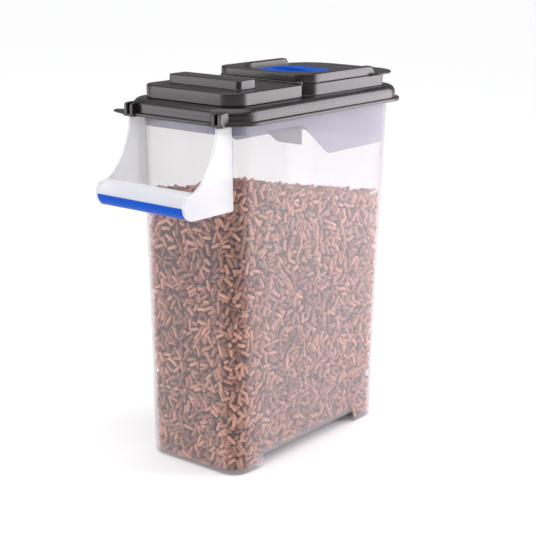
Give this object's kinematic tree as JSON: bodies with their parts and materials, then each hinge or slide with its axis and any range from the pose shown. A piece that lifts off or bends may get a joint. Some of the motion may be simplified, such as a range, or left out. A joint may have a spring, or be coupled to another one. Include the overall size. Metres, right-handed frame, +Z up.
{
  "type": "pet food bin",
  "caption": "Tall translucent pet food bin with a front grip handle, a lift-off lid, a hinged fill cap and a hinged pour hatch with a quarter-turn lock.",
  "frame": {"origin": "on the floor, under the centre of the whole bin's outline", "axes": "+X across the bin's width, +Y from the handle to the rear, +Z up"},
  "size_m": [0.1834, 0.377, 0.4315],
  "materials": {
    "tub_plastic": "natural translucent polypropylene, satin",
    "handle_plastic": "milky translucent polypropylene, satin",
    "blue_plastic": "blue moulded plastic, semi-gloss",
    "black_plastic": "black moulded plastic, satin",
    "collar_plastic": "grey-blue moulded plastic, satin",
    "white_plastic": "white moulded acetal",
    "seal": "grey silicone",
    "black_rubber": "black rubber",
    "steel": "zinc-plated steel",
    "feed": "brown pressed pellets"
  },
  "bodies": {
    "bin": {"tub": "tub_plastic", "feed_pellets": "feed", "handle_frame": "handle_plastic", "grip_insert": "blue_plastic"},
    "lid": {"lid_shell": "black_plastic", "lid_gasket": "seal", "liner_collar": "collar_plastic", "collar_screws": "steel"},
    "cap": {"fill_cap": "black_plastic", "fill_cap_seal": "seal", "fill_cap_hinge_pins": "steel"},
    "hatch": {"hatch_lid": "black_plastic", "hatch_seal": "seal", "hatch_hinge_pins": "steel", "latch_cover": "white_plastic", "latch_cover_screws": "steel", "dial_seal_ring": "black_rubber"},
    "dial": {"lock_dial": "blue_plastic", "lock_cam": "white_plastic", "cam_screw": "steel"},
    "bolt_right": {"latch_bolt_right": "white_plastic"},
    "bolt_left": {"latch_bolt_left": "white_plastic"}
  },
  "joints": [
    {"name": "lid_lift", "type": "slide", "parent": "bin", "child": "lid", "axis": [0, 0, 1], "range_m": [0, 0.12]},
    {"name": "cap_hinge", "type": "hinge", "parent": "lid", "child": "cap", "pos_m": [0.00525, -0.00835, 0.4155], "axis": [-1, 0, 0], "range_deg": [0, 80]},
    {"name": "hatch_hinge", "type": "hinge", "parent": "lid", "child": "hatch", "pos_m": [0.00525, 0.01065, 0.4205], "axis": [1, 0, 0], "range_deg": [0, 85]},
    {"name": "dial_turn", "type": "hinge", "parent": "hatch", "child": "dial", "pos_m": [0.00525, 0.07065, 0.4225], "axis": [0, 0, 1], "range_deg": [0, 90]},
    {"name": "bolt_right_slide", "type": "slide", "parent": "hatch", "child": "bolt_right", "axis": [1, 0, 0], "range_m": [0, 0.005]},
    {"name": "bolt_left_slide", "type": "slide", "parent": "hatch", "child": "bolt_left", "axis": [-1, 0, 0], "range_m": [0, 0.005]}
  ],
  "couplings": [
    {"joint": "bolt_right_slide", "follows": "dial_turn", "m_per_rad": 0.0031831},
    {"joint": "bolt_left_slide", "follows": "dial_turn", "m_per_rad": 0.0031831}
  ]
}
